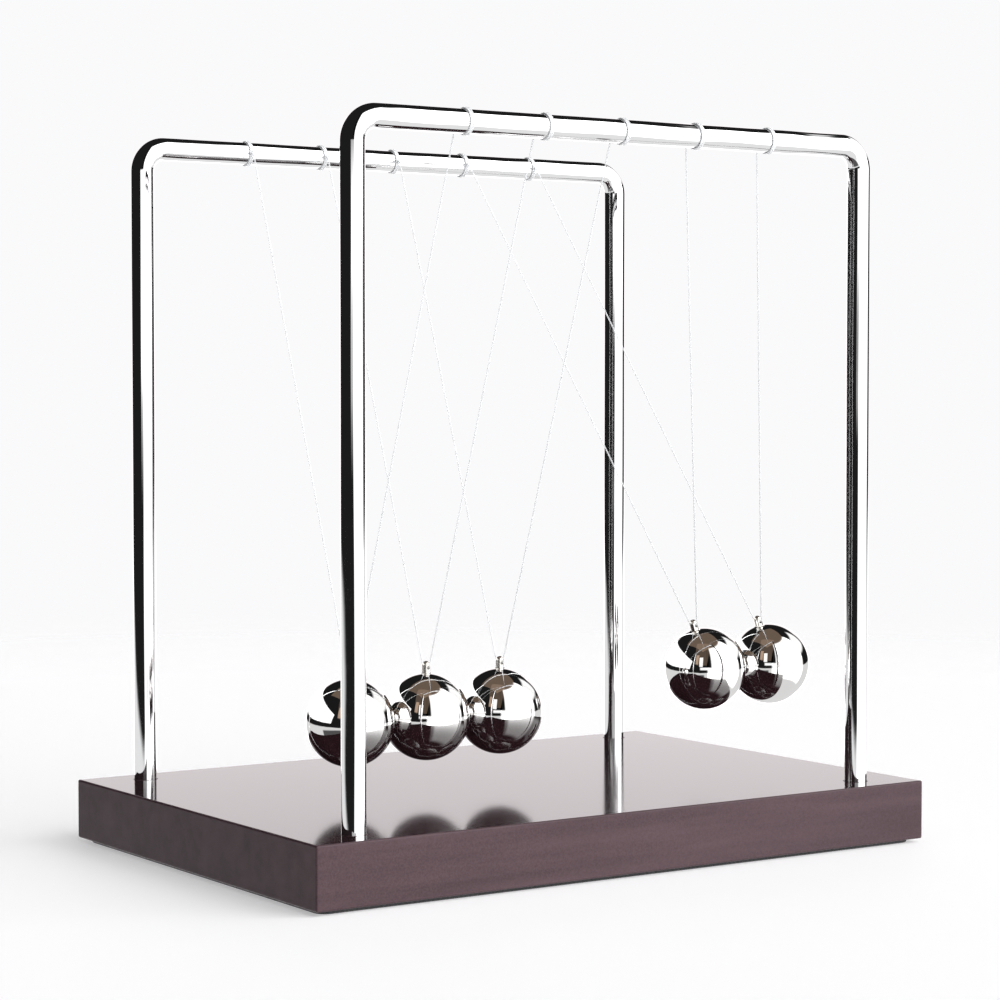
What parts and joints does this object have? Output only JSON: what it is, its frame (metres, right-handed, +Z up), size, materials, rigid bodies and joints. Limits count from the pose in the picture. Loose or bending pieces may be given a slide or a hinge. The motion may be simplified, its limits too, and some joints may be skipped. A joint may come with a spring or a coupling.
{
  "type": "newtons cradle",
  "caption": "Desk cradle: steel balls on V lines between two chrome rod frames on a dark board, with the end pair held out ready to drop.",
  "frame": {"origin": "centre of the resting face, under the middle of the board, on the table", "axes": "+X along the row of balls towards the pair that is held out, +Y from the front frame to the rear frame, +Z up"},
  "size_m": [0.1905, 0.123, 0.1817],
  "materials": {
    "board": "dark brown satin lacquer over fibreboard, semi-gloss on top",
    "rubber": "black matt non-slip rubber sheet",
    "chrome_rod": "bright chrome plate",
    "steel_ball": "mirror-polished steel",
    "eye_pin": "bright nickel plate",
    "screw_steel": "zinc-plated steel",
    "nylon_line": "clear nylon monofilament"
  },
  "bodies": {
    "stand": {"base_board": "board", "base_pad": "rubber", "front_frame": "chrome_rod", "rear_frame": "chrome_rod", "leg_screw_front_left": "screw_steel", "leg_screw_front_right": "screw_steel", "leg_screw_rear_left": "screw_steel", "leg_screw_rear_right": "screw_steel", "leg_washer_front_left": "screw_steel", "leg_washer_front_right": "screw_steel", "leg_washer_rear_left": "screw_steel", "leg_washer_rear_right": "screw_steel", "rail_tie_front_1": "nylon_line", "rail_tie_front_2": "nylon_line", "rail_tie_front_3": "nylon_line", "rail_tie_front_4": "nylon_line", "rail_tie_front_5": "nylon_line", "rail_tie_rear_1": "nylon_line", "rail_tie_rear_2": "nylon_line", "rail_tie_rear_3": "nylon_line", "rail_tie_rear_4": "nylon_line", "rail_tie_rear_5": "nylon_line"},
    "pendulum_1": {"ball_1": "steel_ball", "eye_pin_1": "eye_pin", "line_1": "nylon_line"},
    "pendulum_2": {"ball_2": "steel_ball", "eye_pin_2": "eye_pin", "line_2": "nylon_line"},
    "pendulum_3": {"ball_3": "steel_ball", "eye_pin_3": "eye_pin", "line_3": "nylon_line"},
    "pendulum_4": {"ball_4": "steel_ball", "eye_pin_4": "eye_pin", "line_4": "nylon_line"},
    "pendulum_5": {"ball_5": "steel_ball", "eye_pin_5": "eye_pin", "line_5": "nylon_line"}
  },
  "joints": [
    {"name": "swing_1", "type": "hinge", "parent": "stand", "child": "pendulum_1", "pos_m": [-0.0448, 0, 0.1784], "axis": [0, -1, 0], "range_deg": [-60, 0]},
    {"name": "swing_2", "type": "hinge", "parent": "stand", "child": "pendulum_2", "pos_m": [-0.0224, 0, 0.1784], "axis": [0, -1, 0], "range_deg": [-60, 0]},
    {"name": "swing_3", "type": "hinge", "parent": "stand", "child": "pendulum_3", "pos_m": [0, 0, 0.1784], "axis": [0, -1, 0], "range_deg": [-60, 0]},
    {"name": "swing_4", "type": "hinge", "parent": "stand", "child": "pendulum_4", "pos_m": [0.0224, 0, 0.1784], "axis": [0, -1, 0], "range_deg": [-18, 42]},
    {"name": "swing_5", "type": "hinge", "parent": "stand", "child": "pendulum_5", "pos_m": [0.0448, 0, 0.1784], "axis": [0, -1, 0], "range_deg": [-18, 42]}
  ],
  "couplings": [
    {"joint": "swing_2", "follows": "swing_1", "ratio": 1},
    {"joint": "swing_3", "follows": "swing_1", "ratio": 1},
    {"joint": "swing_4", "follows": "swing_5", "ratio": 1}
  ]
}
